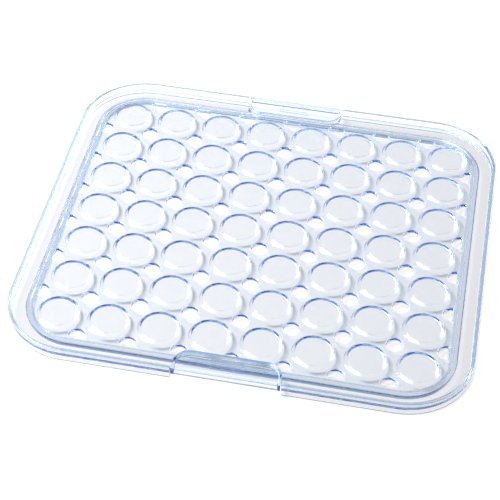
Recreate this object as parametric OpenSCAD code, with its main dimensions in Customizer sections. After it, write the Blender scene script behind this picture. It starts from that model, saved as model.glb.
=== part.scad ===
// Humidity tray in clear plastic: a shallow drip tray, a perforated drain plate that drops
// into it, and two hollow finger grips bonded on the plate for lifting it out.
// Origin at the middle of the footprint, on the surface that the tray stands on.
// +X is right, +Y is back, +Z is up. Millimetres.

/* [Pad grid] */
// Distance between the centres of neighbouring pads
pitch = 34; // [32:1:40]
// Number of pads from left to right
columns = 8; // [4:1:10]
// Number of pads from front to back
rows = 7; // [4:1:9]
// Diameter of a raised pad at its foot
pad_foot_d = 28.6; // [26:0.2:30]
// Diameter of the flat top of a pad
pad_top_d = 24.8; // [20:0.2:25]
// Height of a pad above the plate
pad_h = 2; // [1.2:0.1:2.5]

/* [Drain holes] */
// Clear diameter of a drain hole
hole_d = 10.8; // [8:0.2:12]
// Diameter of a drain hole's countersunk upper edge
hole_rim_d = 13.8; // [12:0.2:14]
// Depth of the countersink
countersink_h = 1.4; // [0.6:0.1:1.6]

/* [Drain plate] */
// Thickness of the plate
plate_t = 1.9; // [1.8:0.1:2.4]
// Thickness of the top and of the sloping wall of a hollow pad
pad_wall = 1.5; // [1.4:0.1:1.8]
// Height of the plate's underside over the table
plate_z = 3; // [2.6:0.1:3.6]
// Distance from the outermost grid lines to the plate's edge
plate_margin = 4; // [3.5:0.1:4.5]

/* [Drip tray] */
// Height of the rim over the table
rim_h = 10; // [9:0.5:12]
// Distance from the outermost grid lines to the outside of the rim
rim_margin = 19; // [18:0.5:24]
// Thickness of the rim
rim_t = 2.6; // [2:0.1:3]
// Corner radius of the outside of the rim
rim_corner_r = 47; // [40:1:60]
// Thickness of the floor
floor_t = 1.2; // [1:0.1:1.6]
// Height of the ledge that a dome stands on
ledge_z = 5.5; // [5.2:0.1:6]
// Thickness of the ledge
ledge_t = 1.8; // [1.4:0.1:2.2]
// Distance from the outermost grid lines to the outside of the basin wall
basin_margin = 7; // [6.5:0.1:8]
// Width of the shoulder that carries the plate's edge
seat_w = 2.1; // [1.5:0.1:2.5]

/* [Finger grips] */
// Length of a grip along the rim
grip_len = 71; // [60:1:80]
// Radius of a grip's two inner corners
grip_corner_r = 11; // [8:1:14]
// Thickness of a grip's walls and top
grip_t = 1.8; // [1.4:0.1:2.2]
// Thickness of a grip's outer wall, which the fingertips pull on
grip_front_t = 2.4; // [2:0.1:3]
// Height of the lower edge of a grip's outer wall over the table
grip_z = 4.7; // [4:0.1:5.2]
// Number of raised ribs on the top of a grip
rib_count = 4; // [2:1:5]

/* [Clearances] */
// Gap between the plate's edge and the basin wall
plate_gap = 0.3; // [0.2:0.1:0.5]
// Gap between a grip and the tray round it
grip_gap = 0.5; // [0.3:0.1:0.8]

/* [Hidden] */
$fn = 96;
clear_blue = [0.80, 0.89, 0.97, 0.55];
cut = 1;                                  // how far a cutting tool runs past a face
field_x = columns * pitch;                // width of the grid of pads
field_y = rows * pitch;                   // depth of the grid of pads
plate_top = plate_z + plate_t;
hole_clip = 0.5;                          // how far the edge holes run past the grid lines
grip_inner_y = field_y / 2 + 1;           // inner face of a grip
grip_outer_y = field_y / 2 + rim_margin;  // outer face of a grip, level with the rim
basin_outer_y = field_y / 2 + basin_margin;
rib_len = 22;
rib_w = 0.9;
rib_h = 0.3;
rib_step = 2.6;

// A rectangle with round corners, built from true arcs.
module round_rect(width, depth, radius) {
    square([width - 2 * radius, depth], center = true);
    square([width, depth - 2 * radius], center = true);
    for (side = [-1, 1], end = [-1, 1])
        translate([side * (width / 2 - radius), end * (depth / 2 - radius)])
            circle(r = radius);
}

// The outline at a distance outside the outermost grid lines, all with the same corner centres.
module footprint(margin) {
    round_rect(field_x + 2 * margin, field_y + 2 * margin, rim_corner_r - rim_margin + margin);
}

// A slab of that outline between two heights.
module slab(margin, bottom, top) {
    translate([0, 0, bottom])
        linear_extrude(top - bottom)
            footprint(margin);
}

// Repeats its child at the centre of every pad.
module at_pads() {
    for (i = [0 : columns - 1], j = [0 : rows - 1])
        translate([(i - (columns - 1) / 2) * pitch, (j - (rows - 1) / 2) * pitch, 0])
            children();
}

// Repeats its child at every crossing of the grid lines but the four corners.
module at_crossings() {
    for (i = [0 : columns], j = [0 : rows])
        if (!((i == 0 || i == columns) && (j == 0 || j == rows)))
            translate([(i - columns / 2) * pitch, (j - rows / 2) * pitch, 0])
                children();
}

// One raised pad, a low cone with a flat top.
module pad_body() {
    translate([0, 0, plate_top])
        cylinder(h = pad_h, d1 = pad_foot_d, d2 = pad_top_d);
}

// The hollow under a pad, with a side as steep as the pad's own.
module pad_hollow() {
    slope = (pad_foot_d - pad_top_d) / 2 / pad_h;
    depth = plate_t + pad_h - pad_wall;
    top_r = pad_top_d / 2 + pad_wall * (slope - sqrt(1 + slope * slope));
    translate([0, 0, plate_z - cut])
        cylinder(h = depth + cut, r1 = top_r + (depth + cut) * slope, r2 = top_r);
}

// One drain hole with its countersunk upper edge.
module hole_tool() {
    translate([0, 0, plate_z - cut])
        cylinder(h = plate_t + 2 * cut, d = hole_d);
    flare = (hole_rim_d - hole_d) / countersink_h;
    translate([0, 0, plate_top - countersink_h])
        cylinder(h = countersink_h + cut, d1 = hole_d, d2 = hole_d + (countersink_h + cut) * flare);
}

// Every drain hole. Those on the outermost grid lines are cut to half discs.
module hole_tools() {
    intersection() {
        at_crossings() hole_tool();
        translate([-field_x / 2 - hole_clip, -field_y / 2 - hole_clip, 0])
            cube([field_x + 2 * hole_clip, field_y + 2 * hole_clip, rim_h]);
    }
}

// The plate that plants or pots stand on. It lies on the basin's shoulder.
module drain_plate() {
    color(clear_blue)
        difference() {
            union() {
                slab(plate_margin, plate_z, plate_top);
                at_pads() pad_body();
            }
            at_pads() pad_hollow();
            hole_tools();
        }
}

// The outline of the front grip seen from above, grown by a gap and shrunk by walls.
module grip_outline(grow = 0, inner = 0, front = 0) {
    width = grip_len + 2 * (grow - inner);
    near = -grip_outer_y - grow + front;
    far = -grip_inner_y + grow - inner;
    intersection() {
        translate([0, far - width / 2])
            round_rect(width, width, grip_corner_r + grow - inner);
        translate([-width / 2, near])
            square([width, far - near]);
    }
}

// The notch that a grip drops into. It goes right through the ledge and the rim, and it is a
// shallow step in the top of the basin wall.
module grip_notch() {
    intersection() {
        translate([0, 0, -cut])
            linear_extrude(rim_h + 2 * cut)
                grip_outline(grow = grip_gap);
        union() {
            translate([-field_x / 2, -field_y, -cut])
                cube([field_x, field_y - basin_outer_y, rim_h + 2 * cut]);
            translate([-field_x / 2, -basin_outer_y - cut, ledge_z - grip_gap / 2])
                cube([field_x, basin_outer_y + cut, rim_h]);
        }
    }
}

// The outer tray: basin, shoulder, ledge and rim in one moulding.
module drip_tray() {
    seat_margin = plate_margin + plate_gap - seat_w;
    color(clear_blue)
        difference() {
            slab(rim_margin, 0, rim_h);
            slab(seat_margin, floor_t, rim_h + cut);
            slab(plate_margin + plate_gap, plate_z, rim_h + cut);
            slab(rim_margin - rim_t, ledge_z, rim_h + cut);
            difference() {
                slab(rim_margin - rim_t, -cut, ledge_z - ledge_t);
                slab(basin_margin, -2 * cut, rim_h);
            }
            grip_notch();
            mirror([0, 1, 0]) grip_notch();
        }
}

// Low ribs across the top of a grip.
module grip_ribs() {
    middle_y = -(grip_inner_y + grip_outer_y) / 2;
    for (i = [0 : rib_count - 1])
        translate([-rib_len / 2, middle_y + (i - (rib_count - 1) / 2) * rib_step - rib_w / 2, 0])
            translate([0, 0, rim_h - 2 * rib_h])
                cube([rib_len, rib_w, 2 * rib_h]);
}

// A hollow grip, open below, whose inner wall stands on the plate.
module finger_grip() {
    top = rim_h - rib_h;
    over_wall_z = ledge_z + grip_gap / 2;
    difference() {
        union() {
            translate([0, 0, grip_z])
                linear_extrude(top - grip_z)
                    grip_outline();
            grip_ribs();
        }
        translate([0, 0, grip_z - cut])
            linear_extrude(top - grip_t - grip_z + cut)
                grip_outline(inner = grip_t, front = grip_front_t);
        // the foot is level with the plate's top
        translate([-grip_len, -field_y / 2 - plate_margin, 0])
            cube([2 * grip_len, field_y / 2 + plate_margin, plate_top]);
        // the side walls pass over the basin wall
        translate([-grip_len, -basin_outer_y - grip_gap, 0])
            cube([2 * grip_len, basin_outer_y + grip_gap - field_y / 2 - plate_margin, over_wall_z]);
    }
}

module front_grip() {
    color(clear_blue) finger_grip();
}

module rear_grip() {
    color(clear_blue) mirror([0, 1, 0]) finger_grip();
}

drip_tray();
drain_plate();
front_grip();
rear_grip();
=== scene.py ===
"""Looks of the humidity tray: clear, faintly blue moulded plastic on a light table.

Every piece is one closed shell built from closed loops seen from above. A profile is swept
along each loop, and flat sheets join the loops. All lengths are in metres.
"""

import math

import bpy
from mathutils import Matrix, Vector
from mathutils.geometry import delaunay_2d_cdt


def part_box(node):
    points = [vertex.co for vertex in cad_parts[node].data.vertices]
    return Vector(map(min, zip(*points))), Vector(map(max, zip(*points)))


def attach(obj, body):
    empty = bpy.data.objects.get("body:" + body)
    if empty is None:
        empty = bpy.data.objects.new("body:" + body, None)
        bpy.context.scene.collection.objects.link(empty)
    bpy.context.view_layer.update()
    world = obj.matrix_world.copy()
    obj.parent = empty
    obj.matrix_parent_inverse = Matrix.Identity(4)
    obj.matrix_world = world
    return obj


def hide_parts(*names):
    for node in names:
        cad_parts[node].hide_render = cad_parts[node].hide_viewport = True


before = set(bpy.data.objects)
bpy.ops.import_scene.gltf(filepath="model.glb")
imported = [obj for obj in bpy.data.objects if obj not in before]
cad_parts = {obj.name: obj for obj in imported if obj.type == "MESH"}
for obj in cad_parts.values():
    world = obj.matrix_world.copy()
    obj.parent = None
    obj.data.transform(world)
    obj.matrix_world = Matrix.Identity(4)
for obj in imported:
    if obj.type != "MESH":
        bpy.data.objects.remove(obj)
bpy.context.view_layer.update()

MM = 0.001

# Pad grid
PITCH = 34 * MM
COLUMNS = 8
ROWS = 7
HALF_X = COLUMNS * PITCH / 2
HALF_Y = ROWS * PITCH / 2

# Heights over the table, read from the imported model
_, TRAY_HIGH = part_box("drip_tray")
PLATE_LOW, PLATE_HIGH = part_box("drain_plate")
GRIP_LOW, GRIP_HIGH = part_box("front_grip")
RIM_TOP = TRAY_HIGH.z
CONTACT_GAP = 0.04 * MM
SEAT_TOP = PLATE_LOW.z
PLATE_BOTTOM = SEAT_TOP + CONTACT_GAP
PAD_TOP = PLATE_HIGH.z
PAD_H = 2 * MM
PLATE_TOP = PAD_TOP - PAD_H
FLOOR_TOP = 1.2 * MM
LEDGE_TOP = 5.5 * MM
LEDGE_BOTTOM = 3.7 * MM

# Distances outside the outermost grid lines
FIELD_CORNER_R = 28 * MM
PLATE_EDGE = PLATE_HIGH.x - HALF_X
SEAT_IN = 2.2 * MM
BASIN_IN = 4.3 * MM
BASIN_OUT = 7 * MM
RIM_OUT = TRAY_HIGH.x - HALF_X
RIM_IN = RIM_OUT - 2.6 * MM
DRAFT = 0.4 * MM

# Pads and holes
PAD_TOP_R = 12.4 * MM
PAD_FOOT_R = 14.3 * MM
PAD_WALL = 1.5 * MM
HOLE_R = 5.4 * MM
HOLE_EDGE_R = 1.4 * MM
EDGE_HOLE_CLIP = 0.5 * MM
HALF_HOLE_BEVEL = 0.8 * MM

# Grips
GRIP_HALF = GRIP_HIGH.x
GRIP_FAR = -GRIP_HIGH.y
GRIP_NEAR = -GRIP_LOW.y
GRIP_R = 11 * MM
GRIP_WALL = 1.8 * MM
GRIP_FRONT_WALL = 2.4 * MM
GRIP_SKIRT = GRIP_LOW.z
GRIP_OVER_WALL = LEDGE_TOP + 0.25 * MM
GRIP_STEP_OUT = 0.9 * MM
GRIP_STEP_IN = 0.5 * MM
RIB_H = 0.3 * MM
RIB_STEP = 2.6 * MM
RIB_HALF = (11 * MM, 0.45 * MM)
RIB_EDGE = 0.2 * MM
RIBS = 4
NOTCH_GAP = 0.5 * MM

# How finely curves are divided
ARC_STEP = math.radians(18)
PAD_SIDES = 56
HOLE_SIDES = 36
HALF_HOLE_SIDES = 22
PLATE_CORNER_SIDES = 20
TRAY_CORNER_SIDES = 24
GRIP_CORNER_SIDES = 16
SMALL_CORNER_SIDES = 4


# ---------------------------------------------------------------- shells

class Shell:
    """A closed surface. Each corner of a face carries the normal it is shaded with."""

    def __init__(self):
        self.points = []
        self.normals = []
        self.faces = []
        self.corner_normals = []

    def add(self, x, y, z, normal):
        self.points.append((x, y, z))
        self.normals.append(normal)
        return len(self.points) - 1

    def face(self, corners, normal=None):
        """Adds a face. Without a normal of its own it is shaded smoothly with its neighbours."""
        self.faces.append(corners)
        if normal:
            self.corner_normals += [normal] * len(corners)
        else:
            self.corner_normals += [self.normals[c] for c in corners]

    def bridge(self, ring_a, ring_b):
        """Quads between two closed rings that run the same way."""
        count = len(ring_a)
        for k in range(count):
            n = (k + 1) % count
            self.face([ring_a[k], ring_b[k], ring_b[n], ring_a[n]])

    def to_object(self, name, material):
        mesh = bpy.data.meshes.new(name)
        mesh.from_pydata(self.points, [], self.faces)
        mesh.polygons.foreach_set("use_smooth", [True] * len(mesh.polygons))
        mesh.normals_split_custom_set([Vector(n).normalized() for n in self.corner_normals])
        mesh.materials.append(material)
        piece = bpy.data.objects.new(name, mesh)
        bpy.context.scene.collection.objects.link(piece)
        return piece


# ---------------------------------------------------------------- loops seen from above

def arc(cx, cy, radius, start, end, count):
    """Points of an arc with their outward normals, both ends included."""
    points = []
    for i in range(count + 1):
        a = start + (end - start) * i / count
        points.append(((cx + radius * math.cos(a), cy + radius * math.sin(a)),
                       (math.cos(a), math.sin(a))))
    return points


def circle(cx, cy, radius, count):
    return arc(cx, cy, radius, 0, 2 * math.pi, count)[:-1]


def rounded_rect(half_x, half_y, radius, count):
    loop = []
    for sx, sy, start in ((1, -1, -90), (1, 1, 0), (-1, 1, 90), (-1, -1, 180)):
        a = math.radians(start)
        loop += arc(sx * (half_x - radius), sy * (half_y - radius), radius,
                    a, a + math.pi / 2, count)
    return loop


def half_disc(cx, cy, side_x, side_y, radius, bevel, count):
    """A half disc whose flat side faces outwards along (side_x, side_y), with rounded corners."""
    # The corner circle touches the flat side at height EDGE_HOLE_CLIP and the disc from inside.
    flat = EDGE_HOLE_CLIP
    inner = radius - bevel
    up = flat - bevel
    across = math.sqrt(inner * inner - up * up)
    turn = math.atan2(up, across)
    loop = arc(across, up, bevel, turn, math.pi / 2, SMALL_CORNER_SIDES)
    loop += arc(-across, up, bevel, math.pi / 2, math.pi - turn, SMALL_CORNER_SIDES)
    loop += arc(0, 0, radius, math.pi - turn, 2 * math.pi + turn, count)[1:-1]
    # That loop has its flat side on top; turn it to the side asked for.
    angle = math.atan2(side_y, side_x) - math.pi / 2
    c, s = math.cos(angle), math.sin(angle)
    return [((cx + c * p[0] - s * p[1], cy + s * p[0] + c * p[1]),
             (c * n[0] - s * n[1], s * n[0] + c * n[1])) for p, n in loop]


# ---------------------------------------------------------------- profiles

def rounded(corners):
    """A profile of (offset, height, normal angle) through corners of (offset, height, radius).

    The surface's outside is on the left of the way along the profile.
    """
    profile = []
    last = len(corners) - 1
    for i, (x, z, radius) in enumerate(corners):
        here = Vector((x, z))
        way_in = (here - Vector(corners[i - 1][:2])).normalized() if i > 0 else None
        way_out = (Vector(corners[i + 1][:2]) - here).normalized() if i < last else None
        if way_in is None or way_out is None:
            way = way_in or way_out
            profile.append((x, z, math.atan2(way.x, -way.y)))
            continue
        a_in = math.atan2(way_in.x, -way_in.y)
        turn = math.atan2(way_in.x * way_out.y - way_in.y * way_out.x, way_in.dot(way_out))
        cut = radius * math.tan(abs(turn) / 2)
        side = 1 if turn > 0 else -1
        normal_in = Vector((-way_in.y, way_in.x))
        centre = here - way_in * cut + normal_in * radius * side
        count = max(2, round(abs(turn) / ARC_STEP))
        for j in range(count + 1):
            a = a_in + turn * j / count
            spoke = Vector((math.cos(a), math.sin(a)))
            at = centre - spoke * radius * side
            profile.append((at.x, at.y, a))
    return profile


def ring(shell, loop, offset, height, angle):
    """One ring of points: the loop moved outwards by offset, with normals at that angle."""
    c, s = math.cos(angle), math.sin(angle)
    return [shell.add(p[0] + n[0] * offset, p[1] + n[1] * offset, height, (n[0] * c, n[1] * c, s))
            for p, n in loop]


def sweep(shell, loop, profile):
    """Sweeps a profile along a closed loop. Returns the first and the last ring."""
    rings = [ring(shell, loop, *station) for station in profile]
    for a, b in zip(rings, rings[1:]):
        shell.bridge(a, b)
    return rings[0], rings[-1]


def disc(shell, edge, facing):
    """Closes a ring with a fan of triangles. facing is 1 for up and -1 for down."""
    xs = [shell.points[i][0] for i in edge]
    ys = [shell.points[i][1] for i in edge]
    z = shell.points[edge[0]][2]
    middle = shell.add(sum(xs) / len(xs), sum(ys) / len(ys), z, (0, 0, facing))
    for k, a in enumerate(edge):
        b = edge[(k + 1) % len(edge)]
        shell.face([middle, a, b] if facing > 0 else [middle, b, a], (0, 0, facing))


def sheet(shell, outer, holes, facing):
    """A flat sheet inside the outer ring and outside the rings of the holes."""
    owner = []
    index = []
    edges = []
    for number, edge in enumerate([outer] + holes):
        start = len(index)
        index += edge
        owner += [number] * len(edge)
        edges += [(start + k, start + (k + 1) % len(edge)) for k in range(len(edge))]
    flat = [Vector(shell.points[i][:2]) for i in index]
    _, _, triangles, _, _, _ = delaunay_2d_cdt(flat, edges, [], 1, 1e-9)
    for t in triangles:
        in_one_hole = owner[t[0]] > 0 and owner[t[0]] == owner[t[1]] == owner[t[2]]
        if in_one_hole:
            continue
        corners = [index[k] for k in t]
        shell.face(corners if facing > 0 else corners[::-1], (0, 0, facing))


# ---------------------------------------------------------------- drain plate

def pad_centres():
    for i in range(COLUMNS):
        for j in range(ROWS):
            yield (i - (COLUMNS - 1) / 2) * PITCH, (j - (ROWS - 1) / 2) * PITCH


def crossings():
    """Where the grid lines cross, but the four corners, with the side that lies on the edge."""
    for i in range(COLUMNS + 1):
        for j in range(ROWS + 1):
            side_x = -1 if i == 0 else 1 if i == COLUMNS else 0
            side_y = -1 if j == 0 else 1 if j == ROWS else 0
            if not (side_x and side_y):
                yield (i - COLUMNS / 2) * PITCH, (j - ROWS / 2) * PITCH, side_x, side_y


def pad_profiles():
    """Profiles of a pad's upper side, from its flat top out, and of its hollow, from below."""
    slope = (PAD_FOOT_R - PAD_TOP_R) / PAD_H
    hollow_top = PAD_TOP - PAD_WALL
    shift = PAD_WALL * math.hypot(1, slope)
    hollow_top_r = PAD_TOP_R + slope * PAD_WALL - shift
    hollow_foot_r = hollow_top_r + slope * (hollow_top - PLATE_BOTTOM)
    upper = rounded([(PAD_TOP_R - 2 * MM, PAD_TOP, 0),
                     (PAD_TOP_R, PAD_TOP, 1.1 * MM),
                     (PAD_FOOT_R, PLATE_TOP, 1.5 * MM),
                     (PAD_FOOT_R + 0.7 * MM, PLATE_TOP, 0)])
    lower = rounded([(hollow_foot_r + 0.9 * MM, PLATE_BOTTOM, 0),
                     (hollow_foot_r, PLATE_BOTTOM, 0.8 * MM),
                     (hollow_top_r, hollow_top, 2.2 * MM),
                     (hollow_top_r - 2 * MM, hollow_top, 0)])
    return upper, lower


def hole_profile():
    """From the underside in to the bore, up it and out over the rounded upper edge."""
    return rounded([(1.2 * MM, PLATE_BOTTOM, 0),
                    (0, PLATE_BOTTOM, 0.25 * MM),
                    (0, PLATE_TOP, HOLE_EDGE_R),
                    (HOLE_EDGE_R + 0.5 * MM, PLATE_TOP, 0)])


def build_plate():
    shell = Shell()
    around = rounded_rect(HALF_X, HALF_Y, FIELD_CORNER_R, PLATE_CORNER_SIDES)
    edge = rounded([(PLATE_EDGE - 1 * MM, PLATE_TOP, 0),
                    (PLATE_EDGE, PLATE_TOP, 0.4 * MM),
                    (PLATE_EDGE, PLATE_BOTTOM, 0.4 * MM),
                    (PLATE_EDGE - 1 * MM, PLATE_BOTTOM, 0)])
    top_outer, bottom_outer = sweep(shell, around, edge)
    top_holes = []
    bottom_holes = []
    upper, lower = pad_profiles()
    for x, y in pad_centres():
        axis = [((x, y), n) for _, n in circle(0, 0, 1, PAD_SIDES)]
        inner, foot = sweep(shell, axis, upper)
        disc(shell, inner, 1)
        top_holes.append(foot)
        mouth, ceiling = sweep(shell, axis, lower)
        disc(shell, ceiling, -1)
        bottom_holes.append(mouth)
    bore = hole_profile()
    for x, y, side_x, side_y in crossings():
        if side_x or side_y:
            loop = half_disc(x, y, side_x, side_y, HOLE_R, HALF_HOLE_BEVEL, HALF_HOLE_SIDES)
        else:
            loop = circle(x, y, HOLE_R, HOLE_SIDES)
        below, above = sweep(shell, loop, bore)
        bottom_holes.append(below)
        top_holes.append(above)
    sheet(shell, top_outer, top_holes, 1)
    sheet(shell, bottom_outer, bottom_holes, -1)
    return shell


# ---------------------------------------------------------------- drip tray

def notch_half_width(margin):
    """Half the width of the notch for a grip, at that distance outside the outermost grid line."""
    radius = GRIP_R + NOTCH_GAP
    depth = HALF_Y + margin - (GRIP_FAR - NOTCH_GAP)
    if depth >= radius:
        return GRIP_HALF + NOTCH_GAP
    return GRIP_HALF + NOTCH_GAP - radius + math.sqrt(radius ** 2 - (radius - depth) ** 2)


def tray_profiles():
    """The tray's cross-section: inside, ledge and rim, what a notch has instead, and outside."""
    step = 0.5 * MM
    notch_top = LEDGE_TOP - 0.25 * MM
    fillet = 0.4 * MM
    inside = rounded([(SEAT_IN - 1 * MM, FLOOR_TOP, 0),
                      (SEAT_IN, FLOOR_TOP, 0.4 * MM),
                      (SEAT_IN, SEAT_TOP, 0.3 * MM),
                      (BASIN_IN, SEAT_TOP, 0.3 * MM),
                      (BASIN_IN, notch_top - fillet, 0)])
    rim = rounded([(BASIN_IN, notch_top - fillet, 0),
                   (BASIN_IN, LEDGE_TOP, fillet),
                   (RIM_IN, LEDGE_TOP, 0.9 * MM),
                   (RIM_IN, RIM_TOP, 0.7 * MM),
                   (RIM_OUT, RIM_TOP, 0.9 * MM),
                   (RIM_OUT - DRAFT, 0, 0.3 * MM),
                   (RIM_IN + DRAFT, 0, 0.3 * MM),
                   (RIM_IN, LEDGE_BOTTOM, 0.5 * MM),
                   (BASIN_OUT, LEDGE_BOTTOM, 0.5 * MM),
                   (BASIN_OUT, LEDGE_BOTTOM - step, 0)])
    notch = rounded([(BASIN_IN, notch_top - fillet, 0),
                     (BASIN_IN, notch_top, fillet),
                     (BASIN_OUT, notch_top, fillet),
                     (BASIN_OUT, LEDGE_BOTTOM - step, 0)])
    outside = rounded([(BASIN_OUT, LEDGE_BOTTOM - step, 0),
                       (BASIN_OUT, 0, 0.4 * MM),
                       (BASIN_OUT - 1 * MM, 0, 0)])
    return inside, rim[1:-2], notch[2:-1], outside


def notch_station(shell, profile, side_x, side_y, back, inset):
    """The profile at a notch's side, back from it by that distance and drawn in by inset.

    The ledge has no points between its two edges. At the notch's round corner it therefore
    runs straight, and it reaches up to 0.64 mm into the grip's side wall.
    """
    points = []
    for margin, height, angle in profile:
        grown = inset * min(max((margin - BASIN_OUT) / (0.8 * MM) - 0.2, 0), 1)
        m = margin - grown * math.cos(angle)
        z = height - grown * math.sin(angle)
        x = notch_half_width(max(m, BASIN_IN)) + back
        points.append(shell.add(side_x * x, side_y * (HALF_Y + m), z,
                                (0, side_y * math.cos(angle), math.sin(angle))))
    return points


def build_tray():
    shell = Shell()
    inside, rim, notch, outside = tray_profiles()
    whole = inside + rim + outside
    low, high = len(inside), len(inside) + len(rim)
    edge_r = 0.25 * MM
    rounding = [(edge_r * (1 - math.sin(a)), edge_r * (1 - math.cos(a)))
                for a in (math.radians(d) for d in (0, 30, 60, 90))]

    def plain(path):
        return [[shell.add(p[0] + n[0] * m, p[1] + n[1] * m, z,
                           (n[0] * math.cos(a), n[1] * math.cos(a), math.sin(a)))
                 for m, z, a in whole] for p, n in path]

    path = rounded_rect(HALF_X, HALF_Y, FIELD_CORNER_R, TRAY_CORNER_SIDES)
    quarter = len(path) // 4
    sections = []
    for side in (1, -1):
        # right half from the front notch to the rear notch, then the left half back again
        start = [notch_station(shell, whole, side, -side, back, inset)
                 for back, inset in reversed(rounding)]
        end = [notch_station(shell, whole, side, side, back, inset) for back, inset in rounding]
        half = path[:2 * quarter] if side > 0 else path[2 * quarter:]
        sections.append(start + plain(half) + end)
    floor_top = []
    floor_bottom = []
    for number, half in enumerate(sections):
        for a, b in zip(half, half[1:]):
            for k in range(len(whole) - 1):
                shell.face([a[k], a[k + 1], b[k + 1], b[k]])
        floor_top += [s[0] for s in half]
        floor_bottom += [s[-1] for s in half]
        # across the notch to the next half
        last = half[-1]
        first = sections[1 - number][0]
        side = 1 if number == 0 else -1
        over_a = notch_station(shell, notch, side, side, 0, 0)
        over_b = notch_station(shell, notch, -side, side, 0, 0)
        a = last[:low] + over_a + last[high:]
        b = first[:low] + over_b + first[high:]
        for k in range(len(a) - 1):
            shell.face([a[k], a[k + 1], b[k + 1], b[k]])
        notch_cap(shell, last[low - 1:high + 1], over_a, -side)
        notch_cap(shell, first[low - 1:high + 1], over_b, side)
    sheet(shell, floor_top, [], 1)
    sheet(shell, floor_bottom, [], -1)
    return shell


def notch_cap(shell, rim_points, notch_points, facing_x):
    """The wall at a notch's side, between the rim's section and the lower one in the notch."""
    outline = rim_points + notch_points[::-1]
    flat = [Vector((abs(shell.points[i][1]), shell.points[i][2])) for i in outline]
    edges = [(k, (k + 1) % len(outline)) for k in range(len(outline))]
    _, _, triangles, _, _, _ = delaunay_2d_cdt(flat, edges, [], 1, 1e-9)
    for t in triangles:
        corners = [outline[k] for k in t]
        a, b, c = (Vector(shell.points[i]) for i in corners)
        if (b - a).cross(c - a).x * facing_x < 0:
            corners.reverse()
        shell.face(corners, (facing_x, 0, 0))


# ---------------------------------------------------------------- finger grips

def grip_loop(inset, front):
    """A grip's outline from above, drawn in by inset, with the same number of points each time."""
    half = GRIP_HALF - inset
    near = -GRIP_NEAR + front
    far = -GRIP_FAR - inset
    radius = GRIP_R - inset
    corner = 0.7 * MM
    # the steps in the lower edge lie on the inner corners and need points of their own there
    centre = -GRIP_FAR - GRIP_R
    steps = [math.asin((y - centre) / GRIP_R) for y in grip_steps()]
    even = [math.pi / 2 * i / GRIP_CORNER_SIDES for i in range(GRIP_CORNER_SIDES + 1)]
    turn = sorted(even + steps)
    loop = []
    for side, angles in ((1, turn), (-1, [math.pi - a for a in reversed(turn)])):
        if side > 0:
            loop += arc(half - corner, near + corner, corner,
                        -math.pi / 2, 0, SMALL_CORNER_SIDES)
        for a in angles:
            x = side * (half - radius) + radius * math.cos(a)
            y = far - radius + radius * math.sin(a)
            loop.append(((x, y), (math.cos(a), math.sin(a))))
        if side < 0:
            loop += arc(corner - half, near + corner, corner,
                        math.pi, math.pi * 3 / 2, SMALL_CORNER_SIDES)
    return loop


def grip_steps():
    """Where, from front to back, the lower edge rises from the skirt to pass over the wall."""
    return [-HALF_Y - BASIN_OUT - GRIP_STEP_OUT, -HALF_Y - BASIN_OUT - GRIP_STEP_IN]


def grip_foot(y):
    """Height of a grip's lower edge: skirt, then over the basin wall, then down on the plate."""
    over = HALF_Y + BASIN_OUT + GRIP_STEP_IN
    stand = HALF_Y + PLATE_EDGE
    depth = -y
    if depth > over + 0.2 * MM:
        return GRIP_SKIRT
    if depth > stand + 0.1 * MM:
        return GRIP_OVER_WALL
    return PLATE_TOP + CONTACT_GAP


def build_grip(mirrored):
    shell = Shell()
    top = GRIP_HIGH.z - RIB_H
    ceiling = top - GRIP_WALL
    outer = grip_loop(0, 0)
    inner = grip_loop(GRIP_WALL, GRIP_FRONT_WALL)
    upper = rounded([(-0.65 * MM, top, 0), (0, top, 0.6 * MM), (0, top - 2 * MM, 0)])
    rings = [ring(shell, outer, *station) for station in upper]
    for a, b in zip(rings, rings[1:]):
        shell.bridge(a, b)
    foot_out = [shell.add(p[0], p[1], grip_foot(p[1]), (n[0], n[1], 0)) for p, n in outer]
    shell.bridge(rings[-1], foot_out)
    foot_in = [shell.add(p[0], p[1], grip_foot(q[1]), (-n[0], -n[1], 0))
               for (p, n), (q, _) in zip(inner, outer)]
    for k in range(len(foot_out)):
        n = (k + 1) % len(foot_out)
        shell.face([foot_out[k], foot_in[k], foot_in[n], foot_out[n]], (0, 0, -1))
    under = rounded([(0, ceiling - 1 * MM, 0), (0, ceiling, 0.6 * MM), (-0.65 * MM, ceiling, 0)])
    hollow = [ring(shell, inner, *station) for station in under]
    shell.bridge(foot_in, hollow[0])
    for a, b in zip(hollow, hollow[1:]):
        shell.bridge(a, b)
    sheet(shell, hollow[-1], [], -1)
    ribs = []
    rise = rounded([(0, GRIP_HIGH.z, 0), (0.12 * MM, GRIP_HIGH.z, 0.1 * MM),
                    (RIB_EDGE, top, 0.1 * MM), (2 * RIB_EDGE, top, 0)])
    middle = -(GRIP_FAR + GRIP_NEAR) / 2
    for i in range(RIBS):
        y = middle + (i - (RIBS - 1) / 2) * RIB_STEP
        loop = rounded_rect(RIB_HALF[0] - RIB_EDGE, RIB_HALF[1] - RIB_EDGE, RIB_EDGE,
                            SMALL_CORNER_SIDES)
        loop = [((p[0], p[1] + y), n) for p, n in loop]
        crest, foot = sweep(shell, loop, rise)
        disc(shell, crest, 1)
        ribs.append(foot)
    sheet(shell, rings[0], ribs, 1)
    if mirrored:
        shell.points = [(x, -y, z) for x, y, z in shell.points]
        shell.corner_normals = [(n[0], -n[1], n[2]) for n in shell.corner_normals]
        flipped = []
        start = 0
        for f in shell.faces:
            flipped += shell.corner_normals[start:start + len(f)][::-1]
            start += len(f)
        shell.corner_normals = flipped
        shell.faces = [f[::-1] for f in shell.faces]
    return shell


# ---------------------------------------------------------------- materials

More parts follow.
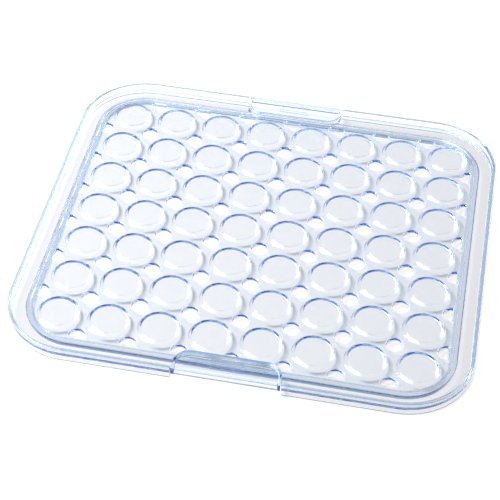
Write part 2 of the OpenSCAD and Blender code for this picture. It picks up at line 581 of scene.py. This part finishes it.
PEEL_SCALE = 150
PEEL_DEPTH = 0.008 * MM
PEBBLE_SCALE = 700
STANDING_Z = 0.05 * MM
# painted shade that the ledge and the feet of the basin wall and the rim throw on the floor
LEDGE_SHADE = (0.79, 0.79, 0.8)
FOOT_SHADE = (0.65, 0.67, 0.72)


def clear_plastic(name, tint, absorb, density, passed, shade, pebble):
    """Clear moulded plastic: its blue comes from the length of the way through it.

    passed is the lamp light that passes a face that it meets squarely, shade the light that
    passes one at a glancing angle, and pebble is the depth of the texture on the face that
    stands on the table.
    """
    material = bpy.data.materials.new(name)
    material.use_nodes = True
    nodes = material.node_tree.nodes
    links = material.node_tree.links
    nodes.clear()
    out = nodes.new("ShaderNodeOutputMaterial")
    glass = nodes.new("ShaderNodeBsdfPrincipled")
    glass.inputs["Base Color"].default_value = (*tint, 1)
    glass.inputs["Transmission Weight"].default_value = 1
    glass.inputs["IOR"].default_value = 1.5
    glass.inputs["Roughness"].default_value = 0
    volume = nodes.new("ShaderNodeVolumeAbsorption")
    volume.inputs["Color"].default_value = (*absorb, 1)
    volume.inputs["Density"].default_value = density
    links.new(volume.outputs[0], out.inputs["Volume"])

    def calculated(operation, a, b):
        """The result of one operation on two values, the second of which may be a number."""
        node = nodes.new("ShaderNodeMath")
        node.operation = operation
        links.new(a, node.inputs[0])
        if isinstance(b, float):
            node.inputs[1].default_value = b
        else:
            links.new(b, node.inputs[1])
        return node.outputs[0]

    def noise(scale, depth):
        """Waves of that depth in metres."""
        cloud = nodes.new("ShaderNodeTexNoise")
        cloud.inputs["Scale"].default_value = scale
        cloud.inputs["Detail"].default_value = 1
        links.new(place.outputs["Object"], cloud.inputs["Vector"])
        return calculated("MULTIPLY", cloud.outputs["Fac"], depth)

    def darkened(colour, where, to):
        """The colour, replaced by another one where that mask is 1."""
        mix = nodes.new("ShaderNodeMix")
        mix.data_type = "RGBA"
        mix.inputs["B"].default_value = (*to, 1)
        links.new(where, mix.inputs["Factor"])
        links.new(colour, mix.inputs["A"])
        return mix.outputs["Result"]

    def beyond(margin):
        """1 further out than that distance from the outermost grid lines, and 0 inside it."""
        vector = place.outputs["Object"]
        corner = (HALF_X - FIELD_CORNER_R, HALF_Y - FIELD_CORNER_R, 1)
        for operation, value in (("ABSOLUTE", None), ("SUBTRACT", corner), ("MAXIMUM", (0, 0, 0))):
            step = nodes.new("ShaderNodeVectorMath")
            step.operation = operation
            links.new(vector, step.inputs[0])
            if value:
                step.inputs[1].default_value = value
            vector = step.outputs["Vector"]
        length = nodes.new("ShaderNodeVectorMath")
        length.operation = "LENGTH"
        links.new(vector, length.inputs[0])
        return calculated("GREATER_THAN", length.outputs["Value"], FIELD_CORNER_R + margin)

    # a faint orange peel everywhere, and a pebbled face under the tray
    place = nodes.new("ShaderNodeTexCoord")
    relief = noise(PEEL_SCALE, PEEL_DEPTH)
    if pebble:
        split = nodes.new("ShaderNodeSeparateXYZ")
        links.new(place.outputs["Object"], split.inputs[0])
        low = calculated("LESS_THAN", split.outputs["Z"], STANDING_Z)
        foot = calculated("MULTIPLY", low, beyond(SEAT_IN))
        under = calculated("SUBTRACT", low, foot)
        pebbles = calculated("MULTIPLY", noise(PEBBLE_SCALE, pebble), under)
        relief = calculated("ADD", relief, pebbles)
    bump = nodes.new("ShaderNodeBump")
    bump.inputs["Distance"].default_value = 1
    links.new(relief, bump.inputs["Height"])
    links.new(bump.outputs[0], glass.inputs["Normal"])

    # lamp light passes where it meets a face squarely, and glances off where it doesn't
    slant = nodes.new("ShaderNodeLayerWeight")
    slant.inputs["Blend"].default_value = 0.5
    glance = nodes.new("ShaderNodeMapRange")
    glance.inputs["From Min"].default_value = 0.48
    glance.inputs["From Max"].default_value = 0.62
    links.new(slant.outputs["Facing"], glance.inputs["Value"])
    passing = nodes.new("ShaderNodeMix")
    passing.data_type = "RGBA"
    passing.inputs["A"].default_value = (*passed, 1)
    passing.inputs["B"].default_value = (*shade, 1)
    links.new(glance.outputs["Result"], passing.inputs["Factor"])
    lamp_light = passing.outputs["Result"]
    if pebble:
        # painted shade: the heights of the ledge, and the feet of the basin wall and the rim, pass
        # less lamp light, in a colour of their own, so that the floor seen under them is darker
        ledge = nodes.new("ShaderNodeMath")
        ledge.operation = "COMPARE"
        links.new(split.outputs["Z"], ledge.inputs[0])
        ledge.inputs[1].default_value = (LEDGE_TOP + LEDGE_BOTTOM) / 2
        ledge.inputs[2].default_value = (LEDGE_TOP - LEDGE_BOTTOM) / 2 + 0.1 * MM
        lamp_light = darkened(lamp_light, ledge.outputs[0], LEDGE_SHADE)
        lamp_light = darkened(lamp_light, foot, FOOT_SHADE)
    clear = nodes.new("ShaderNodeBsdfTransparent")
    links.new(lamp_light, clear.inputs["Color"])
    ray = nodes.new("ShaderNodeLightPath")
    choice = nodes.new("ShaderNodeMixShader")
    links.new(ray.outputs["Is Shadow Ray"], choice.inputs[0])
    links.new(glass.outputs[0], choice.inputs[1])
    links.new(clear.outputs[0], choice.inputs[2])
    links.new(choice.outputs[0], out.inputs["Surface"])
    return material


# ---------------------------------------------------------------- stage

def light_table():
    """A plain pale floor that glows a little. Its warm white balances the plastic's blue."""
    size = 30
    mesh = bpy.data.meshes.new("floor")
    z = -0.2 * MM
    mesh.from_pydata([(-size, -size, z), (size, -size, z), (size, size, z), (-size, size, z)],
                     [], [(0, 1, 2, 3)])
    floor = bpy.data.objects.new("floor", mesh)
    bpy.context.scene.collection.objects.link(floor)
    material = bpy.data.materials.new("floor_white")
    material.use_nodes = True
    paint = material.node_tree.nodes["Principled BSDF"]
    paint.inputs["Base Color"].default_value = (0.8, 0.755, 0.725, 1)
    paint.inputs["Roughness"].default_value = 0.9
    paint.inputs["Specular IOR Level"].default_value = 0
    paint.inputs["Emission Color"].default_value = (0.97, 0.92, 0.885, 1)
    paint.inputs["Emission Strength"].default_value = 0.48
    mesh.materials.append(material)


def studio_world():
    """Pale grey above and blue near the horizon, with two soft bright patches.

    One is high in front on the left and the other low behind on the right. The world doesn't
    light the matt floor.
    """
    world = bpy.data.worlds.new("studio")
    bpy.context.scene.world = world
    world.use_nodes = True
    nodes = world.node_tree.nodes
    links = world.node_tree.links
    nodes.clear()
    out = nodes.new("ShaderNodeOutputWorld")
    light = nodes.new("ShaderNodeBackground")
    way = nodes.new("ShaderNodeTexCoord")

    def lobe(direction, inner, outer, strength):
        """A soft lamp seen in that direction: full inside one angle, nothing beyond another."""
        dot = nodes.new("ShaderNodeVectorMath")
        dot.operation = "DOT_PRODUCT"
        dot.inputs[1].default_value = Vector(direction).normalized()
        links.new(way.outputs["Generated"], dot.inputs[0])
        fade = nodes.new("ShaderNodeMapRange")
        fade.interpolation_type = "SMOOTHSTEP"
        fade.inputs["From Min"].default_value = math.cos(math.radians(outer))
        fade.inputs["From Max"].default_value = math.cos(math.radians(inner))
        fade.inputs["To Min"].default_value = 0
        fade.inputs["To Max"].default_value = strength
        links.new(dot.outputs["Value"], fade.inputs["Value"])
        return fade.outputs["Result"]

    def added(a, b):
        total = nodes.new("ShaderNodeMath")
        total.operation = "ADD"
        links.new(a, total.inputs[0])
        links.new(b, total.inputs[1])
        return total.outputs[0]

    lamps = added(lobe((-0.66, -0.47, 0.59), 14, 38, 9),
                  lobe((0.69, 0.69, 0.1), 18, 45, 6))
    links.new(lamps, light.inputs["Strength"])
    ambient = nodes.new("ShaderNodeBackground")
    split = nodes.new("ShaderNodeSeparateXYZ")
    links.new(way.outputs["Generated"], split.inputs[0])
    height = nodes.new("ShaderNodeMapRange")
    height.inputs["From Min"].default_value = 0.1
    height.inputs["From Max"].default_value = 0.55
    links.new(split.outputs["Z"], height.inputs["Value"])
    sky = nodes.new("ShaderNodeMix")
    sky.data_type = "RGBA"
    sky.inputs["A"].default_value = (0.02, 0.12, 0.5, 1)
    sky.inputs["B"].default_value = (0.42, 0.45, 0.5, 1)
    links.new(height.outputs["Result"], sky.inputs["Factor"])
    links.new(sky.outputs["Result"], ambient.inputs["Color"])
    both = nodes.new("ShaderNodeAddShader")
    links.new(light.outputs[0], both.inputs[0])
    links.new(ambient.outputs[0], both.inputs[1])
    links.new(both.outputs[0], out.inputs["Surface"])
    world.cycles_visibility.diffuse = False


def left_lamp():
    """A soft lamp high on the left. It lights the table and throws the faint shadows."""
    data = bpy.data.lights.new("left_lamp", "AREA")
    data.shape = "DISK"
    data.size = 0.3
    data.energy = 22
    lamp = bpy.data.objects.new("left_lamp", data)
    bpy.context.scene.collection.objects.link(lamp)
    lamp.location = (-0.63, 0.19, 1.01)
    lamp.rotation_euler = Vector(lamp.location).to_track_quat("Z", "Y").to_euler()
    lamp.visible_transmission = False


def camera():
    """The camera stands in front, a little to the right, and looks down at about 45 degrees."""
    data = bpy.data.cameras.new("camera")
    data.lens = 104.4
    data.sensor_width = 36
    data.clip_start = 0.01
    eye = bpy.data.objects.new("camera", data)
    bpy.context.scene.collection.objects.link(eye)
    forward = Vector((-0.1157, 0.6921, -0.7125)).normalized()
    up = Vector((-0.1466, 0.6976, 0.7014))
    right = forward.cross(up).normalized()
    up = right.cross(forward)
    turn = eye.matrix_world.to_3x3()
    turn.col[0], turn.col[1], turn.col[2] = right, up, -forward
    eye.matrix_world = turn.to_4x4()
    eye.location = (0.1095, -0.7113, 0.717)
    bpy.context.scene.camera = eye


# ---------------------------------------------------------------- assembly

BLUE = (0.13, 0.52, 0.84)
CLEAR = (0.987, 0.967, 0.948)
plastic = {"tray": clear_plastic("tray_plastic", (0.935, 0.94, 0.95), BLUE, 45, CLEAR,
                                 (0.95, 0.96, 0.97), 0.3 * MM),
           "plate": clear_plastic("plate_plastic", (0.975, 0.97, 0.98), BLUE, 80, CLEAR,
                                  (0.03, 0.08, 0.2), 0),
           "grip": clear_plastic("grip_plastic", (0.94, 0.96, 0.98), BLUE, 60, (0.9, 0.91, 0.93),
                                 (0.8, 0.85, 0.9), 0)}

for name, node, shell, kind, body in (
        ("tray_moulding", "drip_tray", build_tray(), "tray", "tray"),
        ("plate_moulding", "drain_plate", build_plate(), "plate", "plate"),
        ("front_grip_moulding", "front_grip", build_grip(False), "grip", "plate"),
        ("rear_grip_moulding", "rear_grip", build_grip(True), "grip", "plate")):
    piece = shell.to_object(name, plastic[kind])
    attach(piece, body)
    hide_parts(node)

light_table()
studio_world()
left_lamp()
camera()
bpy.context.scene.view_settings.view_transform = "Standard"
bpy.context.scene.cycles.max_bounces = 96
bpy.context.scene.cycles.transmission_bounces = 96
bpy.context.scene.cycles.glossy_bounces = 96
bpy.context.scene.cycles.volume_bounces = 0
bpy.context.scene.cycles.blur_glossy = 0
bpy.context.scene.cycles.caustics_reflective = False
bpy.context.scene.cycles.caustics_refractive = False
